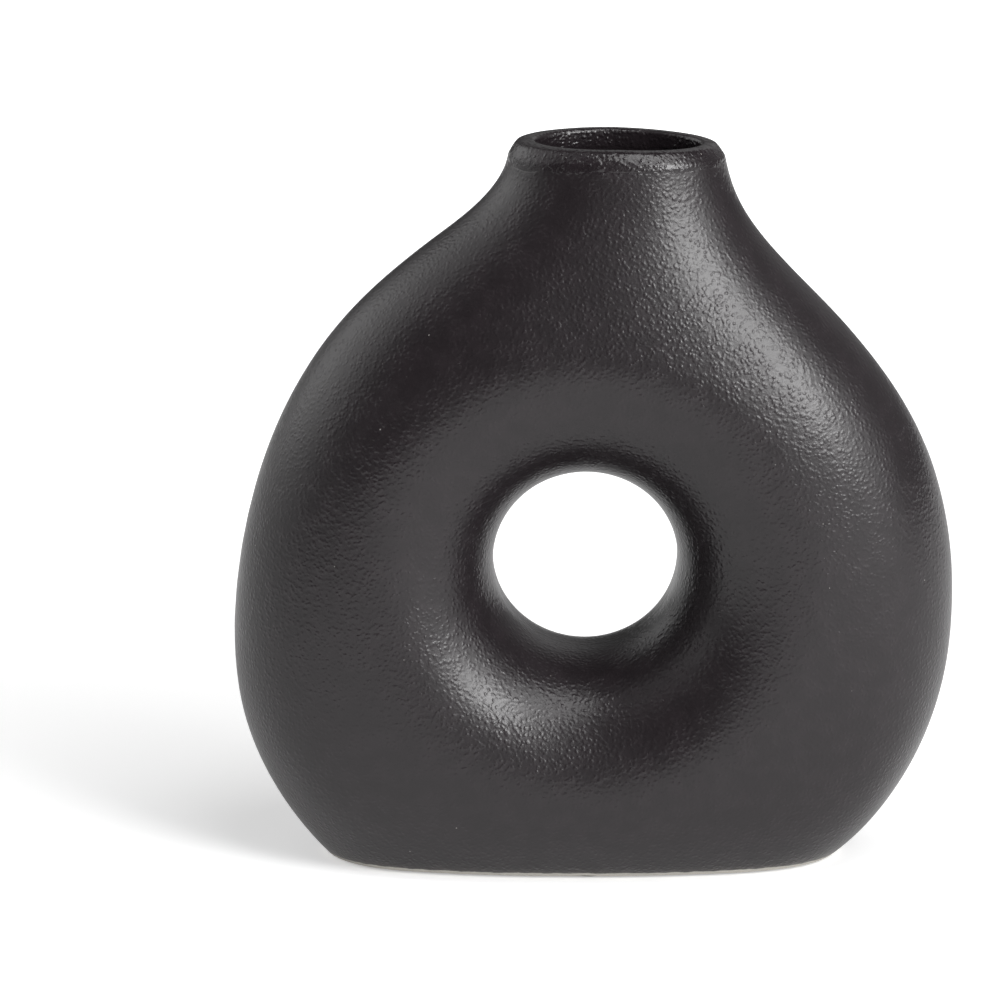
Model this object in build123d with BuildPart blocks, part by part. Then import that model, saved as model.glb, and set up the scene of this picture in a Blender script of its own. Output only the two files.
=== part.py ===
"""Donut vase: one slip-cast ceramic ring on a flat foot with an oval neck, hollow all the way round, on four soft pads.

Units are millimetres. +Z is up and -Y is the front. The origin is on the table, under the middle of the vase.
"""

import os
from math import copysign, cos, dist, hypot, pi, sin

from build123d import *

# Driving dimensions of the whole vase
VASE_HEIGHT = 180.8
BODY_WIDTH = 177.6
BODY_DEPTH = 74.0
BELLY_HEIGHT = 68.0
WALL = 4.8

# Foot: its width, how far it is set in under the front and the back of the belly, its dry rim, the shallow recess
# inside the rim, and the worn edge of the rim
FOOT_WIDTH = 127.2
FOOT_SETBACK = 13.0
FOOT_RIM = 5.0
FOOT_RECESS = 1.5
FOOT_EDGE = 1.0

# Lip: its outline, its wall, the straight throat below it, and the rounding of its two edges as shares of its wall
LIP_WIDTH = 52.4
LIP_DEPTH = 38.4
LIP_WALL = 5.4
THROAT = 5.0
LIP_OUTER_SHARE = 0.66
LIP_INNER_SHARE = 0.18

# Lean: how far the hand-shaped form stands off its middle line, to the left at the foot and to the right at the lip
FOOT_LEAN = 2.8
LIP_LEAN = 5.0

# Tunnel through the ring: its bore, its middle, and the straight stretch between its two rounded ends
TUNNEL_DIAMETER = 45.6
TUNNEL_HEIGHT = 76.2
TUNNEL_SHIFT = 2.1
TUNNEL_STRAIGHT = 18.0

# Pads: stuck up into the recess, standing a little proud of the dry rim, and how far out they go in the recess
PAD_DIAMETER = 10.0
PAD_PROUD = 0.5
PAD_OUT_SHARE = 0.68
PAD_ASIDE_SHARE = 0.72

# Most that the tunnel's ends are rounded by, as shares of what stands beside, under and over the tunnel
SIDE_ROUNDING_SHARE = 0.45
FOOT_ROUNDING_SHARE = 0.54
SHOULDER_ROUNDING_SHARE = 0.78

# How far a cut runs past what it cuts
OVERRUN = 2.0

# Squareness of a section: 2 is an ellipse, and more is fuller at the corners
BODY_SQUARENESS = 2.5
LIP_SQUARENESS = 2.1
SECTION_POINTS = 12

# Levels from foot to belly: shares of the climb, of the gain in width, of the gain in depth, and of the lean
LOWER_SHARES = [
    (0.00, 0.00, 0.00, 1.00),
    (0.13, 0.325, 0.50, 0.71),
    (0.47, 0.835, 0.89, 0.46),
    (1.00, 1.00, 1.00, -0.08),
]

# Levels from belly to lip: shares of the climb, of the width and of the depth left above the lip's, and of the lean
UPPER_SHARES = [
    (0.34, 0.862, 0.91, 0.13),
    (0.61, 0.544, 0.60, -0.14),
    (0.77, 0.247, 0.32, 0.17),
    (0.89, 0.058, 0.12, 0.87),
    (1.00, 0.00, 0.00, 1.00),
]


def level_sections():
    """The outer form as rows of height, half width, half depth, shift along X and squareness, from foot to lip."""
    rows = []
    for climb, wider, deeper, lean in LOWER_SHARES:
        height = PAD_PROUD + climb * (BELLY_HEIGHT - PAD_PROUD)
        width = FOOT_WIDTH + wider * (BODY_WIDTH - FOOT_WIDTH)
        depth = foot_depth + deeper * (BODY_DEPTH - foot_depth)
        rows.append((height, width / 2, depth / 2, -lean * FOOT_LEAN, BODY_SQUARENESS))
    for climb, wider, deeper, lean in UPPER_SHARES:
        height = BELLY_HEIGHT + climb * (VASE_HEIGHT - BELLY_HEIGHT)
        width = LIP_WIDTH + wider * (BODY_WIDTH - LIP_WIDTH)
        depth = LIP_DEPTH + deeper * (BODY_DEPTH - LIP_DEPTH)
        squareness = LIP_SQUARENESS + deeper * (BODY_SQUARENESS - LIP_SQUARENESS)
        rows.append((height, width / 2, depth / 2, lean * LIP_LEAN, squareness))
    return rows


def inset_sections(rows, wall):
    """The same rows one wall further in, measured square to the outline that the front view shows."""
    inner = []
    for place, (height, width, depth, shift, squareness) in enumerate(rows):
        below = rows[max(place - 1, 0)]
        above = rows[min(place + 1, len(rows) - 1)]
        rise = above[0] - below[0]
        spread = above[1] - below[1]
        slope = hypot(rise, spread)
        inner.append(
            (height + wall * spread / slope, width - wall * rise / slope, depth - wall, shift, squareness)
        )
    return inner


def oval(width, depth, shift, squareness):
    """Points round a section, whose corners are fuller than those of an ellipse."""
    points = []
    for step in range(SECTION_POINTS):
        angle = 2 * pi * step / SECTION_POINTS
        x = copysign(abs(cos(angle)) ** (2 / squareness), cos(angle))
        y = copysign(abs(sin(angle)) ** (2 / squareness), sin(angle))
        points.append((shift + width * x, depth * y))
    return points


def steps_round(points):
    """How far round a closed outline each of its points is, from 0 at the first to 1 on coming back to it."""
    steps = [dist(here, after) for here, after in zip(points, points[1:] + points[:1])]
    return [sum(steps[:place]) / sum(steps) for place in range(len(steps) + 1)]


def section_edge(width, depth, shift, squareness):
    """The smooth closed edge of a section, through its points."""
    return Edge.make_spline(oval(width, depth, shift, squareness), periodic=True, parameters=spacing)


os.makedirs("parts", exist_ok=True)

foot_depth = BODY_DEPTH - 2 * FOOT_SETBACK
outer_rows = level_sections()
inner_rows = inset_sections(outer_rows, WALL)
# Every section is spaced as the one at the belly is, so that its points line up from the foot to the lip
spacing = steps_round(oval(*outer_rows[len(LOWER_SHARES) - 1][1:]))
# The cavity ends in a straight throat, which opens at the lip
lip_height, lip_width, lip_depth, lip_shift, lip_squareness = outer_rows[-1]
throat = (lip_width - LIP_WALL, lip_depth - LIP_WALL, lip_shift, lip_squareness)
inner_rows[-1] = (lip_height - THROAT, *throat)
inner_rows.append((lip_height, *throat))

tunnel_middle = (-TUNNEL_SHIFT, TUNNEL_HEIGHT)
tunnel_radius = TUNNEL_DIAMETER / 2
# The shoulder is the second level above the belly, where the ring begins to draw in to the neck
shoulder_height = outer_rows[len(LOWER_SHARES) + 1][0]
# The rounding leaves the tunnel its straight stretch, and stays within the ring that it rounds
tunnel_rounding = min(
    (BODY_DEPTH - TUNNEL_STRAIGHT) / 2,
    SIDE_ROUNDING_SHARE * (BODY_WIDTH / 2 - TUNNEL_SHIFT - tunnel_radius),
    FOOT_ROUNDING_SHARE * (TUNNEL_HEIGHT - tunnel_radius - PAD_PROUD),
    SHOULDER_ROUNDING_SHARE * (shoulder_height - TUNNEL_HEIGHT - tunnel_radius),
)
cut_depth = BODY_DEPTH / 2 + OVERRUN
recess_top = PAD_PROUD + FOOT_RECESS
cavity_floor = recess_top + WALL
recess_width = FOOT_WIDTH / 2 - FOOT_RIM
recess_depth = foot_depth / 2 - FOOT_RIM

# The space inside the ring, round the wall of the tunnel and out of the neck
with BuildPart() as cavity:
    for height, width, depth, shift, squareness in inner_rows:
        with BuildSketch(Plane.XY.offset(height)):
            with BuildLine():
                add(section_edge(width, depth, shift, squareness))
            make_face()
    loft()
    with BuildSketch(Plane.XZ):
        with Locations(tunnel_middle):
            Circle(tunnel_radius + WALL)
    extrude(amount=cut_depth, both=True, mode=Mode.SUBTRACT)
    split(bisect_by=Plane.XY.offset(cavity_floor), keep=Keep.TOP)

with BuildPart() as vase_body:
    for height, width, depth, shift, squareness in outer_rows:
        with BuildSketch(Plane.XY.offset(height)):
            with BuildLine():
                add(section_edge(width, depth, shift, squareness))
            make_face()
    loft()
    with BuildSketch(Plane.XZ):
        with Locations(tunnel_middle):
            Circle(tunnel_radius)
    extrude(amount=cut_depth, both=True, mode=Mode.SUBTRACT)
    add(cavity.part, mode=Mode.SUBTRACT)

    # The tunnel's ends are rounded on the inside first, so that the wall stays even when the outside follows
    sleeve = vase_body.faces().filter_by(GeomType.CYLINDER).sort_by(lambda face: face.radius)[-1]
    fillet(sleeve.edges().filter_by(GeomType.LINE, reverse=True), tunnel_rounding - WALL)
    bore = vase_body.faces().filter_by(GeomType.CYLINDER).sort_by(lambda face: face.radius)[0]
    fillet(bore.edges().filter_by(GeomType.LINE, reverse=True), tunnel_rounding)

    # The lip is rounded over, well outside and a little inside
    lip = vase_body.faces().filter_by(Plane.XY).sort_by(Axis.Z)[-1]
    fillet(lip.edges().sort_by(SortBy.LENGTH)[-1], LIP_OUTER_SHARE * LIP_WALL)
    lip = vase_body.faces().filter_by(Plane.XY).sort_by(Axis.Z)[-1]
    fillet(lip.edges().sort_by(SortBy.LENGTH)[0], LIP_INNER_SHARE * LIP_WALL)

    # The foot's rim is worn round, and the recess inside it is shallow
    foot = vase_body.faces().filter_by(Plane.XY).sort_by(Axis.Z)[0]
    fillet(foot.edges(), FOOT_EDGE)
    with BuildSketch(Plane.XY.offset(PAD_PROUD)):
        with BuildLine():
            add(section_edge(recess_width, recess_depth, -FOOT_LEAN, BODY_SQUARENESS))
        make_face()
    extrude(amount=FOOT_RECESS, mode=Mode.SUBTRACT)

vase_body.part.label = "vase_body"
export_step(vase_body.part, "parts/vase_body.step")

# One soft pad near each corner of the recess, stuck to its roof
pad_radius = PAD_DIAMETER / 2
pad_out = PAD_OUT_SHARE * (recess_width - pad_radius)
pad_aside = PAD_ASIDE_SHARE * (recess_depth - pad_radius)
pad_places = {
    "foot_pad_front_left": (-pad_out - FOOT_LEAN, -pad_aside),
    "foot_pad_front_right": (pad_out - FOOT_LEAN, -pad_aside),
    "foot_pad_back_left": (-pad_out - FOOT_LEAN, pad_aside),
    "foot_pad_back_right": (pad_out - FOOT_LEAN, pad_aside),
}
for pad_name, place in pad_places.items():
    with BuildPart() as foot_pad:
        with BuildSketch(Plane.XY):
            with Locations(place):
                Circle(pad_radius)
        extrude(amount=recess_top)
    foot_pad.part.label = pad_name
    export_step(foot_pad.part, "parts/" + pad_name + ".step")
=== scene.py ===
"""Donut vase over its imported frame: the glazed ring on its bare clay foot, the felt pads and the studio."""

import math
from collections import namedtuple

import bmesh
import bpy
import numpy as np
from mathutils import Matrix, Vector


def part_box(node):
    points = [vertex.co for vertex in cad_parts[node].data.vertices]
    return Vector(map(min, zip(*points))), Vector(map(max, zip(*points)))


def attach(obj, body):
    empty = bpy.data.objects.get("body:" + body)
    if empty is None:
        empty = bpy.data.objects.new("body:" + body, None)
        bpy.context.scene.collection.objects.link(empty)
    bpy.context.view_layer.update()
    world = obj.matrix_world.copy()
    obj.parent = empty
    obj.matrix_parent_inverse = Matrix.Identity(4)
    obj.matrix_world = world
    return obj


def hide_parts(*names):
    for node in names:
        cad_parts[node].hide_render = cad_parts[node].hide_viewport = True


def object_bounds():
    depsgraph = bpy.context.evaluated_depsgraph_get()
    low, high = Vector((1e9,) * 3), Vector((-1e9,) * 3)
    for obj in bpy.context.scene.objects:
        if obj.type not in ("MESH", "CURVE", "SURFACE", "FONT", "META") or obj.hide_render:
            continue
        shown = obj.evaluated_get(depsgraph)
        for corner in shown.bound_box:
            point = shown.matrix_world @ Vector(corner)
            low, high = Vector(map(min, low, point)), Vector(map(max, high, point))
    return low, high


bl_info = {
    "name": "Donut vase",
    "version": (1, 0, 0),
    "blender": (4, 5, 0),
    "location": "3D View > Sidebar > Donut vase",
    "description": "Ring-shaped glazed vase on felt pads, built over its packed frame",
    "category": "Object",
}

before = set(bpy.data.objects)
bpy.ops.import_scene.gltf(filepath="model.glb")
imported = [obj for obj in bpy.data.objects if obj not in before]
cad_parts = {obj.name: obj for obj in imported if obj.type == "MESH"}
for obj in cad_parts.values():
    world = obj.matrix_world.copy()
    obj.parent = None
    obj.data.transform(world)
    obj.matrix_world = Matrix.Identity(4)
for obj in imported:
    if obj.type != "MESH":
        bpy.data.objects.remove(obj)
cad_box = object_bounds()

UP = np.array([0.0, 0.0, 1.0])
PADS = ("foot_pad_front_left", "foot_pad_front_right", "foot_pad_back_left", "foot_pad_back_right")
PAD_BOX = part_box(PADS[0])

# Levels from foot to belly: shares of the climb, of the gain in width, of the gain in depth, and of the lean
LOWER_LEVELS = (
    (0.00, 0.00, 0.00, 1.00),
    (0.13, 0.325, 0.50, 0.71),
    (0.47, 0.835, 0.89, 0.46),
    (1.00, 1.00, 1.00, -0.08),
)

# Levels from belly to lip: shares of the climb, of the width and depth left above the lip's, and of the lean
UPPER_LEVELS = (
    (0.34, 0.862, 0.91, 0.13),
    (0.61, 0.544, 0.60, -0.14),
    (0.77, 0.247, 0.32, 0.17),
    (0.89, 0.058, 0.12, 0.87),
    (1.00, 0.00, 0.00, 1.00),
)

# Soft windows round the studio: degrees round from the right hand side to the back, degrees up, and strength
SOFT_WINDOWS = (
    (324, 22, 3.6),
    (288, 22, 0.55),
    (0, 22, 0.3),
    (36, 22, 0.15),
    (72, 22, 0.5),
    (144, 22, 1.7),
    (180, 22, 1.4),
    (180, 58, 0.85),
)

# Lamps: where each stands, the length of its sides, and its strength as a share of the studio's lamp power
LAMPS = {
    "key": ((1.2, -1.3, 1.0), 0.7, 0.60),
    "upper_key": ((0.95, -0.95, 1.45), 0.8, 0.22),
    "top_right": ((0.75, -0.3, 1.5), 0.6, 0.085),
    "top_front": ((0.3, -0.5, 1.7), 0.7, 0.22),
}
CAMERA_PLACE = (-0.02319, -1.3580, 0.4306)

# Facets of half the skin: round the neck and the foot, up a side, and out from the tunnel
OUTSIDE_FACETS = (96, 90, 68)
INSIDE_FACETS = (48, 56, 28)

# The tunnel on either side of its wall: radius, middle, widest rounding and shortest straight stretch
Bore = namedtuple("Bore", "radius middle rounding straight")


def length(name, about, default):
    """A size in metres."""
    return bpy.props.FloatProperty(
        name=name,
        description=about,
        default=default,
        min=0.0,
        precision=5,
        subtype="DISTANCE",
        unit="LENGTH",
    )


def share(name, about, default, most=1.0):
    """A plain number from nought."""
    return bpy.props.FloatProperty(
        name=name, description=about, default=default, min=0.0, max=most, precision=3
    )


def colour(name, about, default):
    """A colour, as linear red, green and blue."""
    return bpy.props.FloatVectorProperty(
        name=name, description=about, default=default, size=3, min=0.0, max=1.0, subtype="COLOR"
    )


class VaseForm(bpy.types.PropertyGroup):
    """Sizes of the ring, its foot, its lip and its tunnel."""

    height: length("Height", "From the table to the lip", 0.1808)
    body_width: length("Width", "Across the belly, seen from the front", 0.1773)
    body_depth: length("Depth", "From front to back at the belly", 0.074)
    belly_height: length("Belly height", "Height at which the ring is widest", 0.068)
    wall: length("Wall", "Thickness of the cast wall", 0.0048)
    foot_width: length("Foot width", "Across the flat foot", 0.1272)
    foot_depth: length("Foot depth", "From front to back at the foot", 0.048)
    foot_rim: length("Foot rim", "Width of the dry rim that stands lowest", 0.005)
    foot_recess: length("Foot recess", "Depth of the recess inside the rim", 0.0015)
    foot_edge: length("Foot edge", "Rounding of the worn edge of the rim", 0.001)
    lip_width: length("Lip width", "Across the lip, outside", 0.0524)
    lip_depth: length("Lip depth", "From front to back of the lip, outside", 0.0384)
    lip_wall: length("Lip wall", "Thickness of the wall at the lip", 0.0054)
    lip_rounding: length("Lip rounding", "Rounding of the lip's outer edge", 0.003564)
    lip_inner_rounding: length("Lip inner rounding", "Rounding of the lip's inner edge", 0.000972)
    lip_flatness: share("Lip flatness", "How flat the rounding of the lip's outer edge was wiped", 0.75)
    throat: length("Throat", "Straight stretch below the lip, inside", 0.005)
    foot_lean: length("Foot lean", "How far the foot stands off to the left", 0.0028)
    lip_lean: length("Lip lean", "How far the lip stands off to the right", 0.005)
    lip_drop: length("Lip drop", "How much lower the lip is at its right end", 0.0009)
    mouth_shift: length("Mouth shift", "How much thicker the wall is at the lip's left end", 0.0012)
    tunnel: length("Tunnel", "Diameter of the tunnel", 0.0456)
    tunnel_height: length("Tunnel height", "Height of the tunnel's middle", 0.0762)
    tunnel_shift: length("Tunnel shift", "How far the tunnel stands off to the left", 0.0021)
    tunnel_rounding: length("Tunnel rounding", "Widest rounding of the tunnel's two ends", 0.032)
    tunnel_straight: length("Tunnel straight", "Shortest straight stretch between the two roundings", 0.006)
    body_squareness: share("Body squareness", "2 is an ellipse, and more is fuller at the corners", 2.5, 4.0)
    lip_squareness: share("Lip squareness", "2 is an ellipse, and more is fuller at the corners", 2.1, 4.0)
    unevenness: length("Unevenness", "How far the hand-finished skin strays from the form", 0.00012)
    ripple: length("Ripple", "Distance over which the skin strays and comes back", 0.028)
    seam_height: length("Seam height", "How proud the sponged line of the mould's parting is", 0.00007)
    seam_width: length("Seam width", "Width of the line of the mould's parting", 0.0011)


class GlazeFinish(bpy.types.PropertyGroup):
    """Colours and grain of the glaze and of the bare clay."""

    glaze: colour("Glaze", "Colour of the satin black glaze", (0.0140, 0.0108, 0.0124))
    glaze_worn: colour("Thin glaze", "Colour where the glaze thins out along the foot", (0.060, 0.052, 0.050))
    clay: colour("Clay", "Colour of the bare clay of the foot", (0.74, 0.71, 0.65))
    roughness: share("Roughness", "Roughness of the glaze", 0.31)
    pebble: length("Pebble", "Size of the pebbles in the glaze's skin", 0.00105)
    pebble_height: length("Pebble height", "How high the pebbles stand", 0.00014)
    glaze_edge: length("Glaze edge", "Height above the rim at which the glaze was wiped off", 0.0012)
    dust: share("Dust", "How much of the skin carries a speck of dust", 0.5)


class PadForm(bpy.types.PropertyGroup):
    """Sizes and colour of the felt pads."""

    felt: colour("Felt", "Colour of the pressed felt", (0.12, 0.12, 0.12))
    softness: length("Soft edge", "Rounding of a pad's lower edge", 0.0004)
    fibre: length("Fibre", "Length of the loose fibres on a pad's side", 0.0005)
    fibres: bpy.props.IntProperty(
        name="Fibres", description="Loose fibres on a pad's side", default=220, min=0, max=2000
    )
    seed: bpy.props.IntProperty(name="Seed", description="Draws another pattern of fibres", default=7, min=0)


class Studio(bpy.types.PropertyGroup):
    """Floor, lamps and camera."""

    floor: colour("Floor", "Colour of the floor", (0.86, 0.86, 0.86))
    floor_size: length("Floor size", "Length of the floor's sides", 8.0)
    key: bpy.props.FloatProperty(
        name="Lamps", description="Power that each lamp has a share of", default=30.0, min=0.0, unit="POWER"
    )
    windows: share("Windows", "Strength of the soft windows round the studio", 0.92, 4.0)
    floor_glow: share("Floor glow", "How much whiter than lit the camera sees the floor by the vase", 0.42)
    mirrored_glow: share("Mirrored glow", "How much whiter than lit the glaze mirrors the floor", 0.2)
    lens: bpy.props.FloatProperty(
        name="Lens", description="Focal length of the camera in millimetres", default=204.12, min=1.0
    )
    pitch: bpy.props.FloatProperty(
        name="Pitch",
        description="How far the camera looks down",
        default=math.radians(14.07),
        subtype="ANGLE",
    )


def rim_height(form):
    """How high the foot's dry rim stands: a pad reaches from the table up to the roof of its recess."""
    return PAD_BOX[1][2] - form.foot_recess


def level_rows(form):
    """The outer form from foot to lip: height, half width, half depth, shift along X and squareness."""
    rim = rim_height(form)
    rows = []
    for climb, wider, deeper, lean in LOWER_LEVELS:
        height = rim + climb * (form.belly_height - rim)
        width = form.foot_width + wider * (form.body_width - form.foot_width)
        depth = form.foot_depth + deeper * (form.body_depth - form.foot_depth)
        rows.append((height, width / 2, depth / 2, -lean * form.foot_lean, form.body_squareness))
    for climb, wider, deeper, lean in UPPER_LEVELS:
        height = form.belly_height + climb * (form.height - form.belly_height)
        width = form.lip_width + wider * (form.body_width - form.lip_width)
        depth = form.lip_depth + deeper * (form.body_depth - form.lip_depth)
        squareness = form.lip_squareness + deeper * (form.body_squareness - form.lip_squareness)
        rows.append((height, width / 2, depth / 2, lean * form.lip_lean, squareness))
    return rows


def inset_rows(rows, wall):
    """The same rows one wall further in, measured square to the outline that the front view shows."""
    inner = []
    for place, (height, width, depth, shift, squareness) in enumerate(rows):
        below = rows[max(place - 1, 0)]
        above = rows[min(place + 1, len(rows) - 1)]
        rise = above[0] - below[0]
        spread = above[1] - below[1]
        slope = math.hypot(rise, spread)
        raised = height + wall * spread / slope
        inner.append((raised, width - wall * rise / slope, depth - wall, shift, squareness))
    return inner


def oval(width, depth, shift, squareness):
    """Twelve points round a section, whose corners are fuller than those of an ellipse."""
    angle = np.arange(12) * math.pi / 6
    across = np.copysign(np.abs(np.cos(angle)) ** (2 / squareness), np.cos(angle))
    along = np.copysign(np.abs(np.sin(angle)) ** (2 / squareness), np.sin(angle))
    return np.stack([shift + width * across, depth * along], axis=1)


def on_curve(low, high, low_bend, high_bend, step, gap):
    """Points on a smooth curve, a step on from the lower of two rows, from the rows and how they bend."""
    slope = (high - low) / gap - gap * (2 * low_bend + high_bend) / 6
    turning = (high_bend - low_bend) / gap
    return low + step * slope + step**2 * low_bend / 2 + step**3 * turning / 6


def smooth_between(spots, rows, wanted):
    """Rows at the wanted spots, on the smooth curve through the rows at the given spots."""
    gaps = np.diff(spots)
    count = len(spots)
    matrix = np.zeros((count, count))
    target = np.zeros(rows.shape)
    for place in range(1, count - 1):
        both = gaps[place - 1] + gaps[place]
        matrix[place, place - 1 : place + 2] = (gaps[place - 1], 2 * both, gaps[place])
        ahead = (rows[place + 1] - rows[place]) / gaps[place]
        behind = (rows[place] - rows[place - 1]) / gaps[place - 1]
        target[place] = 6 * (ahead - behind)
    matrix[0, :3] = (gaps[1], -gaps[0] - gaps[1], gaps[0])
    matrix[-1, -3:] = (gaps[-1], -gaps[-2] - gaps[-1], gaps[-2])
    bend = np.linalg.solve(matrix, target.reshape(count, -1)).reshape(rows.shape)
    place = np.clip(np.searchsorted(spots, wanted) - 1, 0, count - 2)
    tail = (1,) * (rows.ndim - 1)
    step = (wanted - spots[place]).reshape(-1, *tail)
    gap = gaps[place].reshape(-1, *tail)
    return on_curve(rows[place], rows[place + 1], bend[place], bend[place + 1], step, gap)


def smooth_round(spots, wanted):
    """Weights that turn points round a closed outline into points of the smooth curve through them."""
    gaps = np.diff(spots)
    count = len(gaps)
    plain = np.eye(count)
    matrix = np.zeros((count, count))
    target = np.zeros((count, count))
    for place in range(count):
        before, after = (place - 1) % count, (place + 1) % count
        matrix[place, before] += gaps[before]
        matrix[place, place] += 2 * (gaps[before] + gaps[place])
        matrix[place, after] += gaps[place]
        ahead = (plain[after] - plain[place]) / gaps[place]
        behind = (plain[place] - plain[before]) / gaps[before]
        target[place] = 6 * (ahead - behind)
    bend = np.linalg.solve(matrix, target)
    place = np.clip(np.searchsorted(spots, wanted, side="right") - 1, 0, count - 1)
    after = (place + 1) % count
    step = (wanted - spots[place])[:, None]
    gap = gaps[place][:, None]
    return on_curve(plain[place], plain[after], bend[place], bend[after], step, gap)


def run_of(points):
    """How far along a line each of its points is."""
    return np.concatenate([[0.0], np.cumsum(np.linalg.norm(np.diff(points, axis=0), axis=1))])


class Skin:
    """A smooth form through rows of sections: its outline at any height, its depth over the front view."""

    def __init__(self, rows, spacing):
        self.spacing = spacing
        table = np.array(rows)
        sections = np.array([oval(*row[1:]) for row in rows])
        climb = run_of(table[:, :3])
        fine = np.linspace(0, climb[-1], 900)
        self.sections = smooth_between(climb, sections, fine)
        self.heights = smooth_between(climb, table[:, 0], fine)
        half = np.einsum("uk,lkc->luc", smooth_round(spacing, np.linspace(0, 0.5, 1201)), self.sections)
        self.middle = (half[:, 0, 0] + half[:, -1, 0]) / 2
        self.reach = (half[:, 0, 0] - half[:, -1, 0]) / 2
        swings = np.linspace(0, math.pi, 721)
        depths = []
        for level, middle, reach in zip(half, self.middle, self.reach):
            across = np.clip((level[:, 0] - middle) / reach, -1, 1)
            depths.append(np.interp(swings, np.arccos(across), level[:, 1]))
        self.depths = np.array(depths)

    def place(self, height):
        """Which two of the fine levels a height lies between, and how far from the lower to the upper."""
        spot = np.interp(height, self.heights, np.arange(len(self.heights)))
        low = np.clip(np.floor(spot).astype(int), 0, len(self.heights) - 2)
        return low, spot - low

    def outline(self, height, turn):
        """Points round the form at the given heights: a turn of 0 is its right end, and 0.5 its left end."""
        low, part = self.place(height)
        part = part[:, None, None]
        section = (1 - part) * self.sections[low] + part * self.sections[low + 1]
        flat = np.einsum("nk,nkc->nc", smooth_round(self.spacing, turn), section)
        return np.column_stack([flat, height])

    def depth(self, x, height):
        """How far behind the middle plane the form's skin is, above each point of the front view."""
        low, part = self.place(height)
        middle = (1 - part) * self.middle[low] + part * self.middle[low + 1]
        reach = (1 - part) * self.reach[low] + part * self.reach[low + 1]
        swing = np.arccos(np.clip((x - middle) / reach, -1, 1)) / math.pi * (self.depths.shape[1] - 1)
        left = np.clip(np.floor(swing).astype(int), 0, self.depths.shape[1] - 2)
        side = swing - left
        lower = (1 - side) * self.depths[low, left] + side * self.depths[low, left + 1]
        upper = (1 - side) * self.depths[low + 1, left] + side * self.depths[low + 1, left + 1]
        return (1 - part) * lower + part * upper


def closer_at_ends(count, closeness=0.72):
    """Shares from 0 to 1 that lie closer together near both ends."""
    even = np.linspace(0, 1, count + 1)
    return even - closeness * np.sin(2 * math.pi * even) / (2 * math.pi)


def half_turns(skin, height, count):
    """Turns from the right end to the left end of an outline, closer together at its ends."""
    turn = np.linspace(0, 0.5, 2001)
    points = skin.outline(np.full(turn.shape, height), turn)
    run = run_of(points)
    return np.interp(closer_at_ends(count) * run[-1], run, turn)


def along_line(points, shares):
    """Points at the given shares of the length of a line."""
    run = run_of(points)
    return np.column_stack([np.interp(shares * run[-1], run, points[:, axis]) for axis in range(3)])


def widest_arc(skin, towards, bore):
    """The arc that rounds the tunnel's end along a ray: radius, how far back it starts, where it ends."""
    out = np.linspace(bore.radius, bore.radius + 1.7 * bore.rounding, 900)
    deep = skin.depth(bore.middle[0] + out * towards[0], bore.middle[1] + out * towards[1])

    def laid_against_skin(radius):
        ball = np.sqrt(np.maximum(radius**2 - (out - bore.radius - radius) ** 2, 0))
        touch = int(np.argmin(deep - ball))
        return deep[touch] - ball[touch], out[touch]

    widest, narrowest = bore.rounding, bore.rounding / 2
    if laid_against_skin(widest)[0] < bore.straight / 2:
        # Where the ring is thin, the arc is smaller, so that the tunnel keeps its straight stretch
        for _ in range(18):
            radius = (widest + narrowest) / 2
            if laid_against_skin(radius)[0] < bore.straight / 2:
                widest = radius
            else:
                narrowest = radius
    return widest, *laid_against_skin(widest)


def ring_sheet(skin, low, high, low_turns, high_turns, side_count, steps, bore):
    """Back half of the ring, from the tunnel's wall out to its sides, its shoulder and its foot."""
    middle = bore.middle
    low_line = skin.outline(np.full(low_turns.shape, low), low_turns)
    high_line = skin.outline(np.full(high_turns.shape, high), high_turns)
    climb = np.linspace(low, high, 2001)
    sides = []
    for turn in (0.0, 0.5):
        line = skin.outline(climb, np.full(climb.shape, turn))
        line[:, 1] = 0
        sides.append(along_line(line, np.linspace(0, 1, side_count + 1)))
    right, left = sides
    rays = []
    for line in (right, high_line, left[::-1], low_line[::-1]):
        # A ray's angle at the tunnel keeps step with its end on the border, and it bends where its arc ends
        run = run_of(line)
        first, last = (math.atan2(end[2] - middle[1], end[0] - middle[0]) for end in (line[0], line[-1]))
        last += 2 * math.pi * (last < first)
        for angle, end in zip((first + (last - first) * run / run[-1])[:-1], line[:-1]):
            towards = (math.cos(angle), math.sin(angle))
            radius, start, reach = widest_arc(skin, towards, bore)
            swing = np.linspace(0, math.acos(np.clip(1 - (reach - bore.radius) / radius, -1, 1)), 80)
            away = np.concatenate([[bore.radius], bore.radius + radius * (1 - np.cos(swing))])
            back = np.concatenate([[0.0], start + radius * np.sin(swing)])
            bend = np.column_stack([middle[0] + away * towards[0], back, middle[1] + away * towards[1]])
            part = 1 - (1 - np.linspace(0, 1, 240)[1:, None]) ** 2.5
            flank = bend[-1] + part * (end - bend[-1])
            flank[:, 1] = skin.depth(flank[:, 0], flank[:, 2])
            flank[-1] = end
            ray = along_line(np.concatenate([bend, flank]), closer_at_ends(steps))
            ray[-1] = end
            rays.append(ray)
    return np.array(rays + rays[:1])


def ring_lines(skin, turns, heights):
    """Outlines of the form stacked at the given heights."""
    return np.array([skin.outline(np.full(turns.shape, height), turns) for height in heights])


def even_climb(skin, low, high, count):
    """Heights that are evenly spaced along the form's side."""
    climb = np.linspace(low, high, 1001)
    side = skin.outline(climb, np.full(climb.shape, 0.0))
    return along_line(side, np.linspace(0, 1, count + 1))[:, 2]


def facing(points):
    """Outward level directions along a line that runs from the right end round the back to the left."""
    run = np.gradient(points[:, :2], axis=0)
    run[0] = (0.0, 1.0)
    run[-1] = (0.0, -1.0)
    out = np.column_stack([run[:, 1], -run[:, 0], np.zeros(len(run))])
    return out / np.linalg.norm(out, axis=1)[:, None]


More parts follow.
